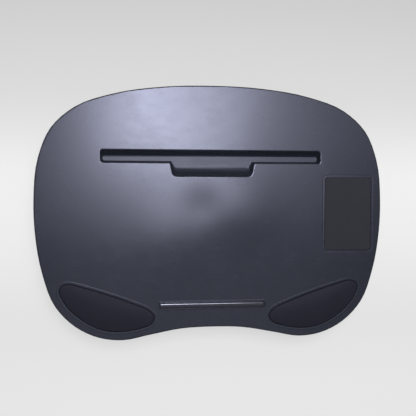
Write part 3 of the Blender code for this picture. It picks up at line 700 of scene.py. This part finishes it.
low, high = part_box("stop_bar")
bar_middle = np.array([(low.x + high.x) / 2, (low.y + high.y) / 2])
bar_length, bar_width = high.x - low.x, high.y - low.y
body_bottom = high.z - bar_body_height
crown_foot = high.z - bar_crown
shoulder = crown_foot - bar_edge_radius * math.sin(bar_edge_turn)
turn = np.linspace(0, bar_edge_turn, bar_edge_steps)
edge_insets = bar_edge_radius * (1 - np.cos(turn))
half_top = bar_width / 2 - edge_insets[-1]
shares = np.linspace(*bar_crown_reach, bar_crown_rings)
insets = np.concatenate([[0], edge_insets, bar_width / 2 - half_top * shares])
heights = np.concatenate([[body_bottom], shoulder + bar_edge_radius * np.sin(turn),
                          crown_foot + bar_crown * (1 - shares ** 3)])
rings = []
for inset, height in zip(insets, heights):
    corner = min(max(bar_corner - inset, bar_corner / 10), bar_width / 2 - inset)
    outline = rounded_rectangle(bar_length - 2 * inset, bar_width - 2 * inset, corner, bar_columns)
    rings.append(ring_at(outline + bar_middle, height))
points, faces = closed_stack(np.array(rings))
for side in (-1, 0, 1):
    place = bar_middle + (side * (bar_length / 2 - peg_end_margin), 0)
    peg_points, peg_faces = closed_stack(peg_rings(place, low.z, body_bottom))
    faces = faces + [[corner + len(points) for corner in face] for face in peg_faces]
    points = np.vstack([points, peg_points])
stop_bar = new_piece("fine_stop_bar", points, faces, bar_finish, "bar_plastic", bar_sharp_degrees)
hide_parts("stop_bar")
print("stop bar", bar_length, "by", bar_width)

# %% [markdown]
# ## Mousing surface
# A fine cloth bonded to the rubber base. It is a thin slab with softly broken edges, which is a
# stack of rounded rectangles: the edge climbs a quarter circle and the top is flat.

# %% Lay the mousing cloth
low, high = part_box("mouse_pad_cloth")
cloth_middle = np.array([(low.x + high.x) / 2, (low.y + high.y) / 2])
cloth_size = (high.x - low.x, high.y - low.y)
cloth_corner = 0.0044
cloth_edge = 0.0002
cloth_edge_steps = 4
cloth_columns = 64
rise = np.linspace(0, math.pi / 2, cloth_edge_steps)
insets = np.concatenate([[0], cloth_edge * (1 - np.cos(rise))])
heights = np.concatenate([[low.z], high.z - cloth_edge * (1 - np.sin(rise))])
rings = [ring_at(rounded_rectangle(cloth_size[0] - 2 * inset, cloth_size[1] - 2 * inset,
                                   cloth_corner, cloth_columns) + cloth_middle, height)
         for inset, height in zip(insets, heights)]
mouse_cloth = new_piece("mouse_cloth", *closed_stack(np.array(rings)), mouse_finish, "mouse_cloth")
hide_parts("mouse_pad_cloth")
print("mousing cloth", cloth_size)

# %% [markdown]
# ## Wrist pads
# A foam lens under a smooth stretched cover. From above it is flat with a softly rolled edge, and
# it swells a little towards the middle. Near the edge the rings step inwards along their own
# outward direction, which keeps the roll even all round, and further in they shrink to the middle.

# %% Shape a wrist pad
pad_cover = 0.0011
pad_roll = 0.0026
pad_crown = 0.0016
pad_roll_steps = 10
pad_crown_rings = 16
pad_last_share = 0.04
pad_columns = 240
pad_sharp_degrees = 60


def wrist_pad(side):
    """The pad's rings: straight up from the recess, a quarter circle for the rolled edge, then a
    crown that rises with the square of how far a point is from the edge."""
    plate_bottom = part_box("wrist_plate_" + side)[0].z
    low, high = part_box("wrist_cover_" + side)
    board = smoothed(traced("wrist_plate_" + side, plate_bottom), pad_columns)
    edge = board + pad_cover * outward(board)
    shoulder = high.z - pad_crown - pad_roll
    turn = np.linspace(0, math.pi / 2, pad_roll_steps)
    rings = [ring_at(edge, low.z)]
    for angle in turn:
        inset = pad_roll * (1 - math.cos(angle))
        rings.append(ring_at(edge - inset * outward(edge), shoulder + pad_roll * math.sin(angle)))
    rim = rings[-1][:, :2]
    middle = rim.mean(axis=0)
    for share in np.linspace(1, pad_last_share, pad_crown_rings)[1:]:
        height = shoulder + pad_roll + pad_crown * (1 - share ** 2)
        rings.append(ring_at(middle + (rim - middle) * share, height))
    pad = new_piece("wrist_pad_" + side, *closed_stack(np.array(rings)), wrist_finish,
                    "wrist_fabric", pad_sharp_degrees)
    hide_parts("wrist_cover_" + side, "wrist_foam_" + side)
    print("wrist pad", side, "up to", round(float(rings[-1][0, 2]), 4), "m")
    return pad


for side in ("left", "right"):
    wrist_pad(side)

# %% [markdown]
# ## Cushions
# Two bags of loose beads, each closed by a flat panel that lies against the tray. The bag bulges
# between its seam and the floor, and the cloth puckers along the seam. The shape starts as a stack
# of rings and is then blown up as cloth: the seam is held, the cloth is cut a little too large for
# its bag, and a light pressure pushes it out into folds.

# %% Shape a cushion
cushion_columns = 260
cushion_bulge = 0.004
cushion_edge = 0.020
cushion_edge_steps = 8
cushion_crown = 0.004
cushion_crown_shares = (0.05, 0.25, 0.5, 0.75)
cushion_floor = 0.0006
cushion_widest_share = 0.48
cushion_side_shares = (0.3, 0.6, 0.85, 1.0)
seam_tuck = 0.0004
seam_drop = 0.0002
all_smooth = 180


def cushion_rings(side):
    """The bag's rings from the floor up. A quarter of an ellipse rounds it in at the bottom, and
    from its widest height up to the seam it closes by the square of the height."""
    low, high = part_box("bolster_top_panel_" + side)
    seam = smoothed(traced("bolster_top_panel_" + side, high.z), cushion_columns)
    widest = high.z * cushion_widest_share
    out = outward(seam)
    rings = []
    floor_ring = seam + (cushion_bulge - cushion_edge) * out
    middle = floor_ring.mean(axis=0)
    for share in cushion_crown_shares:
        outline = middle + (floor_ring - middle) * share
        rings.append(ring_at(outline, cushion_floor + cushion_crown * share ** 2))
    for angle in np.linspace(math.pi / 2, 0, cushion_edge_steps):
        growth = cushion_bulge - cushion_edge * (1 - math.cos(angle))
        height = widest - (widest - cushion_floor - cushion_crown) * math.sin(angle)
        rings.append(ring_at(seam + growth * out, height))
    for share in cushion_side_shares:
        growth = cushion_bulge * (1 - share ** 2) - seam_tuck
        rings.append(ring_at(seam + growth * out, widest + (high.z - seam_drop - widest) * share))
    return np.array(rings), seam, high.z


# %% Blow the cushion up as cloth
voxel = 0.005
held_from = 0.044
cloth_frames = 20
cloth_pressure = 3.0
cloth_stiffness = 0.3
cloth_excess = 0.02
move_limit = 0.006


def remesh(cushion):
    """Cover the bag with small even squares, which the cloth needs to fold freely."""
    even = cushion.modifiers.new("even mesh", "REMESH")
    even.mode = "VOXEL"
    even.voxel_size = voxel
    settle(cushion)


def blow_up(cushion):
    """Hold the bag's top, let pressure push the rest out, and keep the result."""
    start = points_of(cushion.data)
    held = cushion.vertex_groups.new(name="held")
    held.add(np.flatnonzero(start[:, 2] > held_from).tolist(), 1.0, "REPLACE")
    cloth = cushion.modifiers.new("cloth", "CLOTH")
    cloth.settings.vertex_group_mass = "held"
    cloth.settings.use_pressure = True
    cloth.settings.uniform_pressure_force = cloth_pressure
    cloth.settings.shrink_min = -cloth_excess
    cloth.settings.bending_stiffness = cloth_stiffness
    cloth.settings.effector_weights.gravity = 0.0
    cloth.point_cache.frame_start = 1
    cloth.point_cache.frame_end = cloth_frames
    for moment in range(1, cloth_frames + 1):
        bpy.context.scene.frame_set(moment)
    settle(cushion)
    bpy.context.scene.frame_set(1)
    moved = points_of(cushion.data) - start
    far = np.linalg.norm(moved, axis=1, keepdims=True)
    moved *= np.minimum(1, move_limit / np.maximum(far, 1e-9))
    settled = start + moved
    settled[:, 2] = np.clip(settled[:, 2], 0, start[:, 2].max())
    cushion.data.vertices.foreach_set("co", settled.ravel())
    cushion.data.update()
    cushion.vertex_groups.clear()


def settle(piece):
    """Apply all of a piece's modifiers to its mesh."""
    graph = bpy.context.evaluated_depsgraph_get()
    mesh = bpy.data.meshes.new_from_object(piece.evaluated_get(graph))
    piece.modifiers.clear()
    old = piece.data
    piece.data = mesh
    bpy.data.meshes.remove(old)


# %% Make both cushions
seams = {}
for side in ("left", "right"):
    rings, seam, seam_height = cushion_rings(side)
    seams[side] = seam, seam_height
    bag = closed_stack(rings)
    cushion = new_piece("cushion_" + side, *bag, cushion_finish, "cushion_fabric", all_smooth)
    remesh(cushion)
    blow_up(cushion)
    cushion.data.shade_smooth()
    smoother = cushion.modifiers.new("smoother", "SUBSURF")
    smoother.levels = smoother.render_levels = 1
    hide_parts("bolster_shell_" + side, "bolster_fill_" + side, "bolster_top_panel_" + side)
    print("cushion", side, len(cushion.data.vertices), "points")

# %% [markdown]
# ## Piping and stitches
# A cord in folded cloth is sewn into the seam, and a row of stitches runs just below it. The piping
# is a circle carried along the seam: at each point it has one arm outwards and one arm up. A stitch
# is a little spindle laid along the seam, and the whole row is one array of them.

# %% Carry a circle along the seam
def swept(path, out, radius, sides):
    """A closed tube: each point of the path plus the radius times cosine outwards and sine up."""
    turn = np.arange(sides) * 2 * math.pi / sides
    up = np.array([0.0, 0.0, 1.0])
    circle = np.cos(turn)[None, :, None] * out[:, None, :] + np.sin(turn)[None, :, None] * up
    tube = path[:, None, :] + np.reshape(radius, (-1, 1, 1)) * circle
    rows = np.vstack([tube, tube[:1]])
    faces = grid_faces(len(rows), sides) % (len(path) * sides)
    return tube, faces[:, ::-1].tolist()


piping_radius = 0.00125
piping_sides = 14
piping_below_seam = 0.001
piping_stand_off = 0.0003
ripple_share = 0.04
for side, (seam, seam_height) in seams.items():
    out = ring_at(outward(seam), 0.0)
    path = ring_at(seam, seam_height - piping_below_seam) + out * (piping_radius + piping_stand_off)
    ripple = piping_radius * (1 - ripple_share * (1 + np.cos(np.arange(len(seam)) * math.pi / 2)))
    tube = swept(path, out, ripple, piping_sides)
    piping = new_piece("piping_" + side, *tube, piping_finish, "piping_fabric", all_smooth)
    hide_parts("bolster_piping_" + side)
    print("piping", side, len(seam), "steps")


# %% Sew the stitches
stitch_length = 0.0032
stitch_radius = 0.00035
stitch_pitch = 0.0042
stitch_drop = 0.0042
stitch_bulge_share = 0.35
stitch_end_share = 0.06
stitch_rings = 6
stitch_sides = 6


def stitches(seam, height):
    """A row of spindles. Along each, the radius follows half a sine, and every one is moved to its
    place on the seam and turned to lie along it."""
    travelled = np.linalg.norm(np.roll(seam, -1, axis=0) - seam, axis=1).sum()
    count = int(travelled / stitch_pitch)
    step = np.arange(count) * len(seam) / count
    number = np.arange(len(seam) + 1)
    closed = np.vstack([seam, seam[:1]])
    place = np.column_stack([np.interp(step, number, closed[:, axis]) for axis in (0, 1)])
    out = ring_at(outward(place), 0.0)
    along = np.column_stack([-out[:, 1], out[:, 0], np.zeros(count)])
    share = np.linspace(stitch_end_share, 1 - stitch_end_share, stitch_rings)
    turn = np.arange(stitch_sides) * 2 * math.pi / stitch_sides
    reach = (share - 0.5) * stitch_length
    thick = stitch_radius * np.sin(math.pi * share)
    up = np.array([0.0, 0.0, 1.0])
    spindle = (reach[None, :, None, None] * along[:, None, None, :]
               + (thick[:, None] * np.cos(turn))[None, :, :, None] * out[:, None, None, :]
               + (thick[:, None] * np.sin(turn))[None, :, :, None] * up)
    points = ring_at(place, height)[:, None, None, :] + spindle
    quads = grid_faces(stitch_rings, stitch_sides)
    starts = np.arange(count)[:, None] * stitch_rings * stitch_sides
    faces = (quads[None] + starts[:, :, None]).reshape(-1, 4)[:, ::-1]
    first = starts + np.arange(stitch_sides)
    last = starts + (stitch_rings - 1) * stitch_sides + np.arange(stitch_sides)[::-1]
    return points, faces.tolist() + first.tolist() + last.tolist()


for side, (seam, seam_height) in seams.items():
    bulge = cushion_bulge * stitch_bulge_share
    row = stitches(seam + bulge * outward(seam), seam_height - stitch_drop)
    new_piece("stitching_" + side, *row, thread_finish, "piping_fabric", all_smooth)
print("stitches every", stitch_pitch, "m")

# %% [markdown]
# ## Hook and loop tape
# Eight flat strips hold the cushions to the panel. Each takes its place from its solid, and its long
# edges are slightly thinner, as woven tape's are.

# %% Cut the tapes
tape_corner = 0.003
tape_columns = 40
tape_edge = ((0.0004, 0.0), (0.0, 0.3), (0.0, 0.6), (0.0006, 0.9), (0.0014, 1.0))
for name in [name for name in solids if name.startswith(("hook_strip", "loop_strip"))]:
    low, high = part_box(name)
    middle = ((low.x + high.x) / 2, (low.y + high.y) / 2)
    rings = []
    for inset, share in tape_edge:
        width, length = high.x - low.x - 2 * inset, high.y - low.y - 2 * inset
        outline = rounded_rectangle(width, length, tape_corner, tape_columns)
        rings.append(ring_at(outline + middle, low.z + (high.z - low.z) * share))
    strip = closed_stack(np.array(rings))
    tape = new_piece(name.replace("strip", "tape"), *strip, tape_finish, "tape_fabric")
    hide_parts(name)
print("tapes", low.z, high.z)

# %% [markdown]
# ## Finish
# The last cell prints how far the dressed model reaches.

# %% Print the dressed size
low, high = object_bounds()
print("dressed from", tuple(low), "to", tuple(high))
